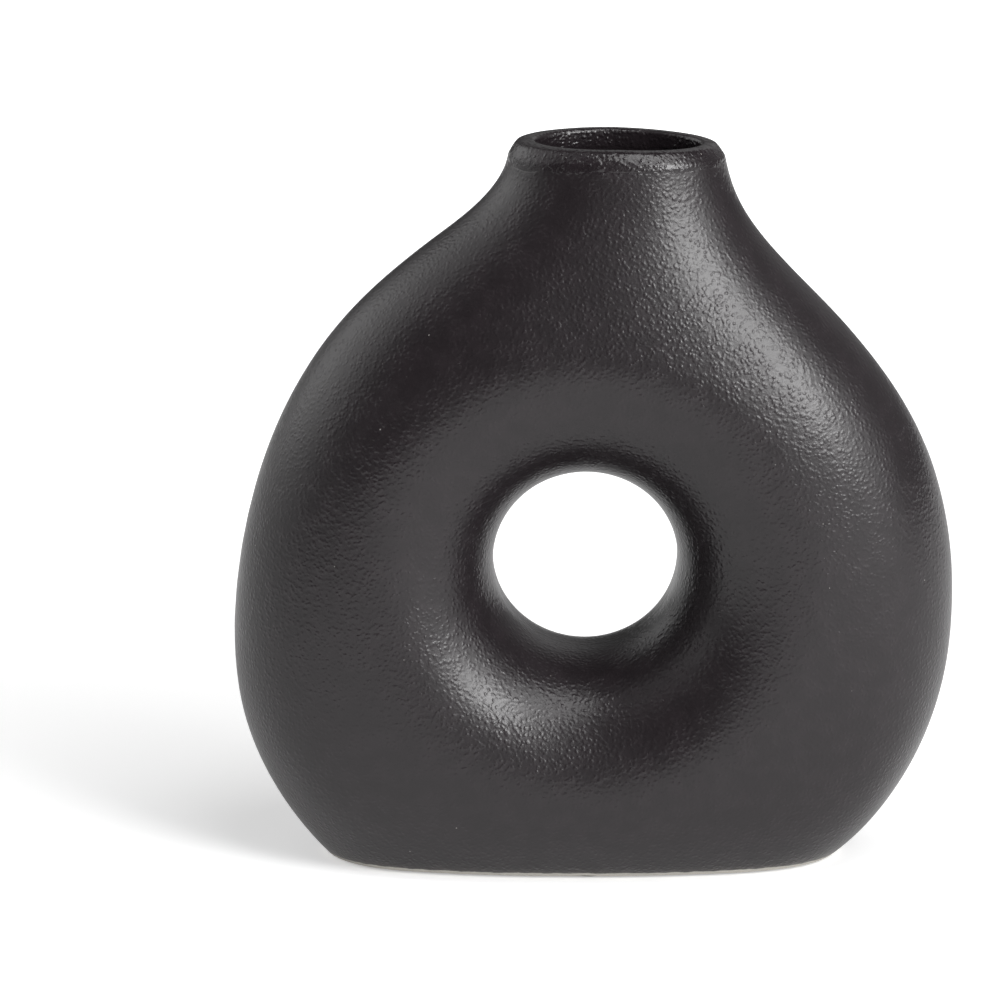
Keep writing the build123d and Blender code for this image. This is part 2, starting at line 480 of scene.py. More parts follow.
def eased(value):
    """A share from 0 to 1 that starts and ends gently."""
    share_of = np.clip(value, 0, 1)
    return share_of * share_of * (3 - 2 * share_of)


def leaning_out(skin, turns, height, rise):
    """A line round the form, its outward level directions, and how far it leans out over a short rise."""
    line = skin.outline(np.full(turns.shape, height), turns)
    out = facing(line)
    beside = skin.outline(np.full(turns.shape, height + rise), turns)
    return line, out, np.arctan2(((beside - line) * out).sum(axis=1), abs(rise))


def rounded(centre, radius, out, swings):
    """Lines round an edge, at angles up from the level, about a line of centres."""
    return [centre + radius * (np.cos(swing) * out + np.sin(swing) * UP) for swing in swings]


def flat_line(spacing, turns, width, depth, shift, squareness, height):
    """A level line round an oval of its own."""
    outline = smooth_round(spacing, turns) @ oval(width, depth, shift, squareness)
    return np.column_stack([outline, np.full(turns.shape, height)])


def foot_grid(form, skin, spacing, turns, rim):
    """The foot's worn edge, dry rim, recess and the recess's roof as a grid, and how high the grid starts."""
    rim_line, out, flare = leaning_out(skin, turns, rim, 0.001)
    tangent = form.foot_edge * np.tan((math.pi / 2 - flare) / 2)
    foot_top = rim + float((tangent * np.cos(flare)).max())
    centre = rim_line - out * tangent[:, None] + UP * form.foot_edge
    swings = [(-flare + part * (flare - math.pi / 2))[:, None] for part in np.linspace(0, 1, 6)]
    foot = [skin.outline(np.full(turns.shape, foot_top), turns)]
    foot += rounded(centre, form.foot_edge, out, swings)
    recess = flat_line(
        spacing,
        turns,
        form.foot_width / 2 - form.foot_rim,
        form.foot_depth / 2 - form.foot_rim,
        -form.foot_lean,
        form.body_squareness,
        rim,
    )
    worn = 0.0003
    foot.append((foot[-1] + recess) / 2)
    foot.append(recess + out * worn)
    foot.append(recess + UP * worn)
    foot.append(recess + UP * (form.foot_recess - worn))
    foot.append(recess - out * worn + UP * form.foot_recess)
    hub = np.array([-form.foot_lean, 0.0, rim + form.foot_recess])
    for part in (0.8, 0.6, 0.4, 0.2, 0.0):
        foot.append(hub + (foot[-1] - hub) * (part / (part + 0.2)))
    return np.array(foot), foot_top


def collar_grid(form, outside, inside, spacing, turns, shoulder, mouth):
    """The neck from the shoulder up, the lip over its edge, the throat, and the neck's inside back down."""
    top = form.height
    rim_line, out, slant = leaning_out(outside, turns, top, -0.002)
    tangent = form.lip_rounding * np.tan((math.pi / 2 - slant) / 2)
    centre = rim_line - out * tangent[:, None] - UP * form.lip_rounding
    swings = [(slant + part * (math.pi / 2 - slant))[:, None] for part in np.linspace(0, 1, 11)]
    bend = rounded(centre, form.lip_rounding, out, swings)
    # Below its crest the rounding was wiped flatter with a sponge, so it stays within the arc
    crest = 7
    first, last = bend[0], bend[crest]
    for place in range(crest):
        chord = first + place / crest * (last - first)
        bend[place] = bend[place] + form.lip_flatness * (chord - bend[place])
    # The neck's last stretch comes over to where the rounding of the lip begins
    shares = np.linspace(0, 1, 1001)
    heights = even_climb(outside, shoulder, top, 1000)
    reach = np.interp(bend[0][:, 2], heights, shares)
    neck = []
    for part in np.linspace(0, 1, 56):
        neck.append(outside.outline(np.interp(part * reach, shares, heights), turns))
    drift = bend[0] - neck[-1]
    stretch = 0.25
    for place, line in enumerate(neck):
        neck[place] = line + drift * eased((place / (len(neck) - 1) - 1 + stretch) / stretch)
    mouth_line = flat_line(spacing, turns, *mouth, top)
    out = facing(mouth_line)
    inner = form.lip_inner_rounding
    swings = np.linspace(math.pi / 2, 0, 6)
    turned = rounded(mouth_line + (out - UP) * inner, inner, -out, swings)
    level = [bend[-1] + (turned[0] - bend[-1]) * part for part in (0.33, 0.67)]
    throat_end = mouth_line - UP * form.throat
    throat = [turned[-1] + (throat_end - turned[-1]) * part for part in (0.5, 1.0)]
    depths = even_climb(inside, shoulder, top - form.throat, 24)[::-1]
    inner_neck = ring_lines(inside, turns, depths[1:])
    first = [outside.outline(np.full(turns.shape, shoulder), turns)]
    return np.concatenate([first, neck[1:], bend[1:], level, turned, throat, inner_neck])


def vase_grids(form):
    """Half of the whole skin behind the middle plane, outside and inside, as grids of points."""
    rows = level_rows(form)
    belly = oval(*rows[len(LOWER_LEVELS) - 1][1:])
    spacing = run_of(np.concatenate([belly, belly[:1]]))
    spacing /= spacing[-1]
    inner = inset_rows(rows, form.wall)
    top, width, depth, shift, squareness = rows[-1]
    mouth = (width - form.lip_wall, depth - form.lip_wall, shift, squareness)
    inner[-1] = (top - form.throat, *mouth)
    outside = Skin(rows, spacing)
    inside = Skin(inner, spacing)
    middle = (-form.tunnel_shift, form.tunnel_height)
    # The neck starts a little over the shoulder, which is the second level above the belly
    over_shoulder = 0.004
    shoulder = rows[len(LOWER_LEVELS) + 1][0] + over_shoulder
    around, up_side, outward = OUTSIDE_FACETS
    turns = half_turns(outside, shoulder, around)
    collar = collar_grid(form, outside, inside, spacing, turns, shoulder, mouth)

    rim = rows[0][0]
    foot_turns = half_turns(outside, rim, around)
    foot, foot_top = foot_grid(form, outside, spacing, foot_turns, rim)
    bore = Bore(form.tunnel / 2, middle, form.tunnel_rounding, form.tunnel_straight)
    sheet = ring_sheet(outside, foot_top, shoulder, foot_turns, turns, up_side, outward, bore)

    # The hollow inside goes round the wall of the tunnel and down to a flat floor
    around, up_side, outward = INSIDE_FACETS
    floor = rim + form.foot_recess + form.wall
    floor_turns = half_turns(inside, floor, around)
    sleeve = bore._replace(radius=form.tunnel / 2 + form.wall, rounding=form.tunnel_rounding - form.wall)
    hollow = ring_sheet(inside, floor, shoulder, floor_turns, turns, up_side, outward, sleeve)
    floor_line = inside.outline(np.full(floor_turns.shape, floor), floor_turns)
    hub = np.array([-form.foot_lean, 0.0, floor])
    bottom = [hub + (floor_line - hub) * part for part in (1.0, 0.8, 0.6, 0.4, 0.2, 0.0)]
    return [sheet, foot, collar, hollow, np.array(bottom)]


def worked_by_hand(points, form):
    """Lowers the lip towards its right end, lets it wave a little, and trims the mouth off to the right."""
    neck_foot = 0.150
    slow_wave = 0.00003
    quick_wave = 0.00002
    aside = (points[:, 0] - form.lip_lean) / form.lip_width * 2
    climb = eased((points[:, 2] - neck_foot) / (form.height - neck_foot))
    angle = np.arctan2(points[:, 1], points[:, 0] - form.lip_lean)
    wave = slow_wave * (1 + np.sin(2 * angle + 0.6)) + quick_wave * (1 + np.sin(5 * angle))
    points[:, 2] -= climb * (form.lip_drop * np.clip(aside, 0, 1) + wave)
    # The wall grows thicker to the left, on its inside alone, and from below the throat up
    trim_foot = 0.163
    trim_rise = 0.012
    trim_reach = 0.016
    mouth_edge = 0.93
    mouth_softness = 0.08
    share_of_lip = np.hypot(aside, points[:, 1] / form.lip_depth * 2)
    inside = np.clip((mouth_edge - share_of_lip) / mouth_softness, 0, 1)
    upper = np.clip((points[:, 2] - trim_foot) / trim_rise, 0, 1)
    left = np.clip((form.lip_lean - points[:, 0]) / trim_reach, 0, 1)
    points[:, 0] += form.mouth_shift * inside * upper * left
    return points


def mesh_from_halves(name, grids, form):
    """One closed mesh from grids behind the middle plane and their mirror images before it."""
    points = []
    faces = []
    for grid in grids:
        for side in (1, -1):
            start = sum(len(batch) for batch in points)
            rows, columns = grid.shape[:2]
            points.append((grid * np.array([1, side, 1])).reshape(-1, 3))
            index = start + np.arange(rows * columns).reshape(rows, columns)
            corners = (index[:-1, :-1], index[:-1, 1:], index[1:, 1:], index[1:, :-1])
            faces.append(np.stack(corners, axis=-1).reshape(-1, 4))
    mesh = bpy.data.meshes.new(name)
    mesh.from_pydata(np.concatenate(points).tolist(), [], np.concatenate(faces).tolist())
    welded_within = 0.000004
    work = bmesh.new()
    work.from_mesh(mesh)
    bmesh.ops.remove_doubles(work, verts=work.verts, dist=welded_within)
    bmesh.ops.dissolve_degenerate(work, edges=work.edges, dist=welded_within / 2)
    bmesh.ops.recalc_face_normals(work, faces=work.faces)
    open_edges = [edge for edge in work.edges if not edge.is_manifold]
    if open_edges:
        raise RuntimeError(f"{name} has {len(open_edges)} open edges, one at {open_edges[0].verts[0].co}")
    if work.calc_volume(signed=True) < 0:
        bmesh.ops.reverse_faces(work, faces=work.faces)
    work.to_mesh(mesh)
    work.free()
    places = np.empty(len(mesh.vertices) * 3)
    mesh.vertices.foreach_get("co", places)
    mesh.vertices.foreach_set("co", worked_by_hand(places.reshape(-1, 3), form).ravel())
    mesh.shade_smooth()
    mesh.update()
    return mesh


def new_tree(name, kind, inputs, outputs):
    """An empty node tree with named inputs and outputs, and its two end nodes."""
    tree = bpy.data.node_groups.new(name, kind)
    for label, socket, default in inputs:
        made = tree.interface.new_socket(label, in_out="INPUT", socket_type=socket)
        if default is not None:
            made.default_value = default
    for label, socket in outputs:
        tree.interface.new_socket(label, in_out="OUTPUT", socket_type=socket)
    return tree, tree.nodes.new("NodeGroupInput"), tree.nodes.new("NodeGroupOutput")


def join(tree, source, target):
    """A link from an output to an input."""
    tree.links.new(source, target)


def fill(tree, node, inputs):
    """Fills a node's inputs, by name or by place: an output is linked, and a value is set."""
    for label, value in inputs.items():
        if isinstance(value, bpy.types.NodeSocket):
            join(tree, value, node.inputs[label])
        else:
            node.inputs[label].default_value = value


def make(tree, kind, inputs, **settings):
    """A node with its settings made and its inputs filled."""
    node = tree.nodes.new(kind)
    for setting, value in settings.items():
        setattr(node, setting, value)
    fill(tree, node, inputs)
    return node


def worked(tree, operation, *values):
    """The output of a Math node whose inputs are numbers or outputs."""
    return make(tree, "ShaderNodeMath", dict(enumerate(values)), operation=operation).outputs[0]


def plus(tree, first, second):
    """A sum."""
    return worked(tree, "ADD", first, second)


def minus(tree, first, second):
    """A difference."""
    return worked(tree, "SUBTRACT", first, second)


def times(tree, first, *others):
    """A product of two or more."""
    for other in others:
        first = worked(tree, "MULTIPLY", first, other)
    return first


def over(tree, first, second):
    """A quotient."""
    return worked(tree, "DIVIDE", first, second)


def ramp(tree, value, low, high, bottom=0.0, top=1.0):
    """A value carried smoothly from one range to another."""
    limits = {"Value": value, "From Min": low, "From Max": high, "To Min": bottom, "To Max": top}
    return make(tree, "ShaderNodeMapRange", limits, interpolation_type="SMOOTHSTEP").outputs[0]


def noise(tree, vector, scale, detail=2.0, roughness=0.5):
    """A value that wanders between 0 and 1 from place to place."""
    inputs = {"Vector": vector, "Scale": scale, "Detail": detail, "Roughness": roughness}
    return make(tree, "ShaderNodeTexNoise", inputs).outputs["Fac"]


def axes_of(tree, vector):
    """The parts of a vector, by the names of its axes."""
    return make(tree, "ShaderNodeSeparateXYZ", {0: vector}).outputs


def end_dressed(tree, geometry, material, end):
    """Ends a tree with real geometry that carries a material."""
    real = make(tree, "GeometryNodeRealizeInstances", {0: geometry})
    dress = make(tree, "GeometryNodeSetMaterial", {"Geometry": real.outputs[0], "Material": material})
    join(tree, dress.outputs[0], end.inputs[0])


def hand_finish_tree(material):
    """Moves the skin along its normals: soft unevenness, and the sponged line of the mould's parting."""
    tree, start, end = new_tree(
        "Hand finish",
        "GeometryNodeTree",
        [
            ("Skin", "NodeSocketGeometry", None),
            ("Unevenness", "NodeSocketFloat", 0.0001),
            ("Ripple", "NodeSocketFloat", 0.03),
            ("Seam height", "NodeSocketFloat", 0.0001),
            ("Seam width", "NodeSocketFloat", 0.001),
        ],
        [("Skin", "NodeSocketGeometry")],
    )
    place = tree.nodes.new("GeometryNodeInputPosition").outputs[0]
    normal = tree.nodes.new("GeometryNodeInputNormal").outputs[0]
    # Most of the wave is under this level, so that the skin strays inward rather than out of its box
    level = 0.62
    wave = noise(tree, place, over(tree, 1.0, start.outputs["Ripple"]), 1.0)
    stray = times(tree, minus(tree, wave, level), start.outputs["Unevenness"], 2.0)
    aside = over(tree, axes_of(tree, place)["Y"], start.outputs["Seam width"])
    bead = worked(tree, "EXPONENT", times(tree, aside, aside, -4.0))
    worn = ramp(tree, noise(tree, place, 90.0, 1.0), 0.35, 0.65)
    bead = times(tree, bead, worn, start.outputs["Seam height"])
    pushed = {0: normal, "Scale": plus(tree, stray, bead)}
    offset = make(tree, "ShaderNodeVectorMath", pushed, operation="SCALE").outputs[0]
    move = make(tree, "GeometryNodeSetPosition", {"Geometry": start.outputs["Skin"], "Offset": offset})
    end_dressed(tree, move.outputs[0], material, end)
    return tree


def fibre_tree(material):
    """Short bent fibres that stand out of a pad's side, joined to the pad."""
    tree, start, end = new_tree(
        "Felt fibres",
        "GeometryNodeTree",
        [
            ("Pad", "NodeSocketGeometry", None),
            ("Fibres", "NodeSocketInt", 200),
            ("Length", "NodeSocketFloat", 0.0005),
            ("Thickness", "NodeSocketFloat", 0.00003),
            ("Lowest", "NodeSocketFloat", 0.0),
            ("Highest", "NodeSocketFloat", 0.002),
            ("Seed", "NodeSocketInt", 1),
        ],
        [("Pad", "NodeSocketGeometry")],
    )
    pad = start.outputs["Pad"]
    seed = start.outputs["Seed"]
    longest = start.outputs["Length"]
    height = axes_of(tree, tree.nodes.new("GeometryNodeInputPosition").outputs[0])["Z"]
    above = worked(tree, "GREATER_THAN", height, start.outputs["Lowest"])
    below = worked(tree, "LESS_THAN", height, start.outputs["Highest"])
    side = times(tree, above, below)
    face = tree.nodes.new("GeometryNodeInputMeshFaceArea").outputs[0]
    measured = {"Geometry": pad, "Selection": side, "Attribute": face}
    area = make(tree, "GeometryNodeAttributeStatistic", measured, domain="FACE").outputs["Sum"]
    density = over(tree, start.outputs["Fibres"], area)
    scattered = {"Mesh": pad, "Selection": side, "Density": density, "Seed": seed}
    roots = make(tree, "GeometryNodeDistributePointsOnFaces", scattered)
    # A strand is a thin bent tube, about as long as the unit that its size is scaled by
    bent = {
        "Resolution": 3,
        "Start": (0, 0, 0),
        "Start Handle": (0, 0.1, 0.4),
        "End Handle": (0.3, 0.3, 0.7),
        "End": (0.7, 0.2, 0.8),
    }
    strand = make(tree, "GeometryNodeCurvePrimitiveBezierSegment", bent)
    thin = {"Resolution": 3, "Radius": over(tree, start.outputs["Thickness"], longest)}
    ring = make(tree, "GeometryNodeCurvePrimitiveCircle", thin)
    tube = {"Curve": strand.outputs[0], "Profile Curve": ring.outputs[0], "Fill Caps": True}
    thread = make(tree, "GeometryNodeCurveToMesh", tube)
    # Each strand is turned and shortened by chance
    swing = {"Min": (-0.5, -0.5, -3.1), "Max": (0.5, 0.5, 3.1), "Seed": seed}
    turn = make(tree, "FunctionNodeRandomValue", swing, data_type="FLOAT_VECTOR").outputs[0]
    sizes = {2: times(tree, longest, 0.4), 3: longest, "Seed": seed}
    size = make(tree, "FunctionNodeRandomValue", sizes, data_type="FLOAT").outputs[1]
    angles = make(tree, "FunctionNodeEulerToRotation", {0: turn}).outputs[0]
    turned = {0: roots.outputs["Rotation"], 1: angles}
    tilt = make(tree, "FunctionNodeRotateRotation", turned, rotation_space="LOCAL").outputs[0]
    grown = {
        "Points": roots.outputs["Points"],
        "Instance": thread.outputs[0],
        "Rotation": tilt,
        "Scale": size,
    }
    set_out = make(tree, "GeometryNodeInstanceOnPoints", grown)
    both = make(tree, "GeometryNodeJoinGeometry", {0: pad})
    join(tree, set_out.outputs[0], both.inputs[0])
    end_dressed(tree, both.outputs[0], material, end)
    return tree


def linked(name, data):
    """A new object in the scene."""
    thing = bpy.data.objects.new(name, data)
    bpy.context.scene.collection.objects.link(thing)
    return thing


def put_through(mesh, tree, values):
    """The mesh that a Geometry Nodes tree makes of a mesh, as an object with no modifier left on it."""
    thing = linked(mesh.name, mesh)
    nodes = thing.modifiers.new("Nodes", "NODES")
    nodes.node_group = tree
    for item in tree.interface.items_tree:
        if item.in_out == "INPUT" and item.name in values:
            nodes[item.identifier] = values[item.name]
    seen = thing.evaluated_get(bpy.context.evaluated_depsgraph_get())
    made = bpy.data.meshes.new_from_object(seen)
    thing.modifiers.clear()
    made.name = mesh.name
    thing.data = made
    return thing


def shader_group(name, inputs, outputs):
    """A shader node group for an effect that materials share."""
    if name in bpy.data.node_groups:
        return bpy.data.node_groups[name], None, None
    return new_tree(name, "ShaderNodeTree", inputs, outputs)


def pebbled_skin():
    """Rounded pebbles of one size, some run together, with a finer grain on them: a height from 0 to 1."""
    tree, start, end = shader_group(
        "Pebbled skin",
        [("Vector", "NodeSocketVector", None), ("Size", "NodeSocketFloat", 0.0013)],
        [("Height", "NodeSocketFloat"), ("Tone", "NodeSocketFloat")],
    )
    if start is None:
        return tree
    vector = start.outputs["Vector"]
    scale = over(tree, 1.0, start.outputs["Size"])
    # The pebbles are pushed about a little, so that they stand in no rows
    push = (0.0009, 0.0009, 0.0009)
    wander = {"Vector": vector, "Scale": times(tree, scale, 0.7), "Detail": 1.0}
    sway = make(tree, "ShaderNodeTexNoise", wander).outputs["Color"]
    spot = make(tree, "ShaderNodeVectorMath", {0: sway, 1: push, 2: vector}, operation="MULTIPLY_ADD")
    spread = {"Vector": spot.outputs[0], "Scale": scale, "Smoothness": 0.7}
    cells = make(tree, "ShaderNodeTexVoronoi", spread, feature="SMOOTH_F1")
    dome = ramp(tree, cells.outputs["Distance"], 0.05, 0.62, 1.0, 0.0)
    fine = noise(tree, vector, times(tree, scale, 1.3), 2.0)
    slow = noise(tree, vector, times(tree, scale, 0.22), 1.0)
    dome = times(tree, dome, ramp(tree, slow, 0.3, 0.7, 0.55, 1.0))
    height = plus(tree, times(tree, dome, 0.6), times(tree, fine, 0.4))
    join(tree, height, end.inputs["Height"])
    join(tree, slow, end.inputs["Tone"])
    return tree


def dust_specks():
    """A few small pale specks, well apart: a mask."""
    tree, start, end = shader_group(
        "Dust specks",
        [
            ("Vector", "NodeSocketVector", None),
            ("Spacing", "NodeSocketFloat", 0.006),
            ("Amount", "NodeSocketFloat", 0.5),
        ],
        [("Mask", "NodeSocketFloat")],
    )
    if start is None:
        return tree
    vector = start.outputs["Vector"]
    scale = over(tree, 1.0, start.outputs["Spacing"])
    cells = make(tree, "ShaderNodeTexVoronoi", {"Vector": vector, "Scale": scale})
    ragged = times(tree, minus(tree, noise(tree, vector, 2600.0, 1.0), 0.5), 0.02)
    speck = ramp(tree, plus(tree, cells.outputs["Distance"], ragged), 0.016, 0.034, 1.0, 0.0)
    # A cell's own colour says whether it carries a speck
    draw = make(tree, "ShaderNodeSeparateColor", {0: cells.outputs["Color"]}).outputs[0]
    chosen = worked(tree, "LESS_THAN", draw, start.outputs["Amount"])
    join(tree, times(tree, speck, chosen), end.inputs["Mask"])
    return tree


def placed(tree, group, values):
    """The outputs of a group placed in a material."""
    return make(tree, "ShaderNodeGroup", values, node_tree=group).outputs


def blend(tree, factor, first, second):
    """One colour laid over another by a factor."""
    first, second = ((*value, 1.0) if isinstance(value, tuple) else value for value in (first, second))
    return make(tree, "ShaderNodeMix", {0: factor, 6: first, 7: second}, data_type="RGBA").outputs[2]


def shaded(value, part):
    """A colour made darker or paler."""
    return tuple(min(1.0, channel * part) for channel in value)


def fresh_material(name):
    """A material with a Principled BSDF, its tree, and its Object coordinates."""
    material = bpy.data.materials.new(name)
    material.use_nodes = True
    tree = material.node_tree
    shader = tree.nodes["Principled BSDF"]
    spot = tree.nodes.new("ShaderNodeTexCoord").outputs["Object"]
    return material, tree, shader, spot


def give_relief(tree, shader, height, distance):
    """Lays a material's relief on it: a height, times a distance in metres."""
    bump = make(tree, "ShaderNodeBump", {"Distance": distance, "Height": height})
    join(tree, bump.outputs[0], shader.inputs["Normal"])


def scored_line(tree, distance, width):
    """1 on a line and 0 away from it, from a distance in metres."""
    near = over(tree, distance, width)
    return worked(tree, "EXPONENT", times(tree, near, near, -1.0))


def hand_marks():
    """Fine marks of making: the trimmed line under the lip, and the scored parting of the mould."""
    tree, start, end = shader_group(
        "Hand marks",
        [
            ("Vector", "NodeSocketVector", None),
            ("Lip height", "NodeSocketFloat", 0.18),
            ("Tunnel radius", "NodeSocketFloat", 0.023),
            ("Tunnel height", "NodeSocketFloat", 0.076),
            ("Tunnel shift", "NodeSocketFloat", 0.002),
        ],
        [("Depth", "NodeSocketFloat")],
    )
    if start is None:
        return tree
    line_width = 0.00022
    trim_depth = 0.00007
    parting_depth = 0.00018
    vector = start.outputs["Vector"]
    bore = start.outputs["Tunnel radius"]
    x, y, z = axes_of(tree, vector)
    below = minus(tree, start.outputs["Lip height"], z)
    broken = noise(tree, vector, 110.0, 2.0)
    # The trimmed line wanders up and down, and fades out in places
    trim_top = 0.0028
    trim_wander = 0.0042
    wander = times(tree, noise(tree, vector, 45.0, 2.0), trim_wander)
    trim = scored_line(tree, minus(tree, below, plus(tree, wander, trim_top)), line_width)
    trim = times(tree, trim, ramp(tree, broken, 0.42, 0.55, 0.0, trim_depth))
    # The parting is scored where the sponge missed it: on the lip's ends, and high in the tunnel
    parting_waver = 0.0016
    waver = times(tree, minus(tree, broken, 0.5), parting_waver)
    parting = scored_line(tree, plus(tree, y, waver), line_width)
    on_lip = ramp(tree, below, 0.0016, 0.0034, 1.0, 0.0)
    aside = plus(tree, x, start.outputs["Tunnel shift"])
    above = minus(tree, z, start.outputs["Tunnel height"])
    away = worked(tree, "SQRT", plus(tree, times(tree, aside, aside), times(tree, above, above)))
    inside = ramp(tree, away, plus(tree, bore, 0.0006), plus(tree, bore, 0.0016), 1.0, 0.0)
    high = ramp(tree, above, times(tree, bore, 0.6), times(tree, bore, 0.8))
    parting = times(tree, parting, worked(tree, "MAXIMUM", on_lip, times(tree, inside, high)))
    join(tree, plus(tree, trim, times(tree, parting, parting_depth)), end.inputs["Depth"])
    return tree


def glaze_material(finish, form):
    """Satin black glaze with a pebbled skin, thin and brown along the foot, over the bare clay of its rim."""
    material, tree, shader, spot = fresh_material("Satin black glaze")
    height = axes_of(tree, spot)["Z"]
    skin = placed(tree, pebbled_skin(), {"Vector": spot, "Size": finish.pebble})
    grit = placed(tree, pebbled_skin(), {"Vector": spot, "Size": 0.0004})["Height"]
    dust = placed(tree, dust_specks(), {"Vector": spot, "Spacing": 0.006, "Amount": finish.dust})["Mask"]
    made = {
        "Vector": spot,
        "Lip height": form.height,
        "Tunnel radius": form.tunnel / 2,
        "Tunnel height": form.tunnel_height,
        "Tunnel shift": form.tunnel_shift,
    }
    marks = placed(tree, hand_marks(), made)["Depth"]
    grit_height = 0.00004
    glaze_thickness = 0.0001
    dust_colour = (0.42, 0.40, 0.38)
    # The glaze ends in a wandering line over the rim, and is thin above it
    wander = 0.0007
    fading = 0.0001
    thin_band = 0.0015
    wave = minus(tree, noise(tree, spot, 420.0, 2.0), 0.5)
    edge = plus(tree, height, times(tree, wave, wander))
    line = rim_height(form) + finish.glaze_edge
    bare = ramp(tree, edge, line - fading, line + fading, 1.0, 0.0)
    thin = ramp(tree, edge, line, line + thin_band, 1.0, 0.0)
    # Colour: the glaze is paler in places, breaks brown where it is thin, and carries a little dust
    patches = ramp(tree, skin["Tone"], 0.35, 0.7)
    glaze = blend(tree, patches, tuple(finish.glaze), shaded(finish.glaze, 1.25))
    glaze = blend(tree, times(tree, thin, 0.7), glaze, tuple(finish.glaze_worn))
    glaze = blend(tree, times(tree, dust, 0.7), glaze, dust_colour)
    clay = blend(tree, grit, shaded(finish.clay, 0.8), tuple(finish.clay))
    join(tree, blend(tree, bare, glaze, clay), shader.inputs["Base Color"])
    # Gloss: satin, a little uneven, shinier and coarser on the sponged lip, and matt on the clay
    sponged = 0.005
    sponged_softness = 0.0008
    sponged_foot = form.height - sponged
    lip = ramp(tree, height, sponged_foot - sponged_softness, sponged_foot + sponged_softness)
    slow = noise(tree, spot, 46.0, 3.0)
    gloss = ramp(tree, slow, 0.3, 0.7, finish.roughness - 0.02, finish.roughness + 0.03)
    gloss = plus(tree, gloss, times(tree, dust, 0.3))
    gloss = minus(tree, gloss, times(tree, lip, 0.07))
    fill(tree, shader, {"Roughness": plus(tree, gloss, times(tree, bare, 0.5)), "IOR": 1.5})
    # Relief in metres: pebbles on the glaze, grit on the clay, the glaze's thickness, and the marks of making
    glazed = minus(tree, 1.0, bare)
    relief = times(tree, skin["Height"], glazed, finish.pebble_height)
    relief = times(tree, relief, plus(tree, times(tree, lip, 0.6), 1.0))
    relief = plus(tree, relief, times(tree, grit, bare, grit_height))
    relief = plus(tree, relief, times(tree, glazed, glaze_thickness))
    give_relief(tree, shader, minus(tree, relief, marks), 1.0)
    return material


def felt_material(pads):
    """Pressed dark felt: matted fibres with a soft sheen, and a colour that follows their height: painted
    highlight where they stand out, painted shade between them.
    """
    material, tree, shader, spot = fresh_material("Pressed felt")
    mat = noise(tree, spot, 2400.0, 3.0, 0.6)
    tuft = noise(tree, spot, 600.0, 2.0)
    fibre_height_and_painted_shading = plus(tree, times(tree, mat, 0.6), times(tree, tuft, 0.4))
    # Painted highlight and shade: the colour is paler where the fibres stand high and darker in the hollows
    # between them
    felt = blend(tree, ramp(tree, fibre_height_and_painted_shading, 0.35, 0.65), shaded(pads.felt, 0.6), shaded(pads.felt, 1.5))
    looks = {"Base Color": felt, "Roughness": 0.95, "Sheen Weight": 0.4, "Sheen Roughness": 0.5}
    fill(tree, shader, looks)
    give_relief(tree, shader, fibre_height_and_painted_shading, 0.00012)
    return material


def pad_profile(pads, low, high):
    """A pad's outline from the middle of its underside to the middle of its top: distance out and height."""
    radius = (high[0] - low[0]) / 2 - pads.fibre * 0.5
    soft = pads.softness
    flat = radius - soft
    profile = [(part * flat, low[2]) for part in (0.0, 0.35, 0.7)]
    for swing in np.linspace(0, math.pi / 2, 5):
        profile.append((flat + soft * math.sin(swing), low[2] + soft * (1 - math.cos(swing))))
    side = high[2] - low[2] - soft
    bulge = 0.006
    for part in (0.35, 0.7):
        profile.append((radius * (1 + bulge * math.sin(math.pi * part)), low[2] + soft + part * side))
    top, edge = high[2], 0.0001
    return profile + [(radius, top - edge), (radius - edge, top), (radius * 0.5, top), (0.0, top)]


def pad_mesh(name, pads):
    """A soft round disc in the space of its CAD pad: flat on top, with a rounded, uneven lower edge."""
    low, high = (np.array(corner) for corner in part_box(name))
    x, y = ((low + high) / 2)[:2]
    around = 64
    broad_waver = 0.006
    fine_waver = 0.004
    work = bmesh.new()
    rings = []
    for out, height in pad_profile(pads, low, high):
        if out == 0:
            rings.append([work.verts.new((x, y, height))])
            continue
        ring = []
        for place in range(around):
            angle = 2 * math.pi * place / around
            broad = broad_waver * (1 + math.sin(3 * angle + x * 90))
            fine = fine_waver * (1 + math.sin(7 * angle))
            reach = out * (1 - broad - fine)
            ring.append(work.verts.new((x + reach * math.cos(angle), y + reach * math.sin(angle), height)))
        rings.append(ring)
    for lower, upper in zip(rings, rings[1:]):
        for place in range(around):
            after = (place + 1) % around
            corners = [lower[place % len(lower)], lower[after % len(lower)]]
            corners += [upper[after % len(upper)], upper[place % len(upper)]]
            work.faces.new(list(dict.fromkeys(corners)))
    bmesh.ops.recalc_face_normals(work, faces=work.faces)
    mesh = bpy.data.meshes.new(name + "_felt")
    work.to_mesh(mesh)
    work.free()
    mesh.shade_smooth()
    return mesh


def lay_floor(studio):
    """A pale floor: the camera sees it whiter with distance, and the glaze mirrors it whiter than lit."""
    mesh = bpy.data.meshes.new("floor")
    half = studio.floor_size / 2
    corners = [(-half, -half, 0), (half, -half, 0), (half, half, 0), (-half, half, 0)]
    mesh.from_pydata(corners, [], [(0, 1, 2, 3)])
    floor = linked("floor", mesh)
    material, tree, shader, spot = fresh_material("Studio floor")
    rays = tree.nodes.new("ShaderNodeLightPath").outputs
    near, far = 0.15, 1.1
    away = make(tree, "ShaderNodeVectorMath", {0: spot}, operation="LENGTH").outputs["Value"]
    white = ramp(tree, away, near, far, studio.floor_glow, 1.0)
    mirrored = worked(tree, "MAXIMUM", rays["Is Glossy Ray"], rays["Is Transmission Ray"])
    seen = times(tree, rays["Is Camera Ray"], white)
    looks = {
        "Base Color": (*studio.floor, 1.0),
        "Roughness": 0.9,
        "Specular IOR Level": 0.0,
        "Emission Color": (1.0, 1.0, 1.0, 1.0),
        "Emission Strength": plus(tree, seen, times(tree, mirrored, studio.mirrored_glow)),
    }
    fill(tree, shader, looks)
    mesh.materials.append(material)


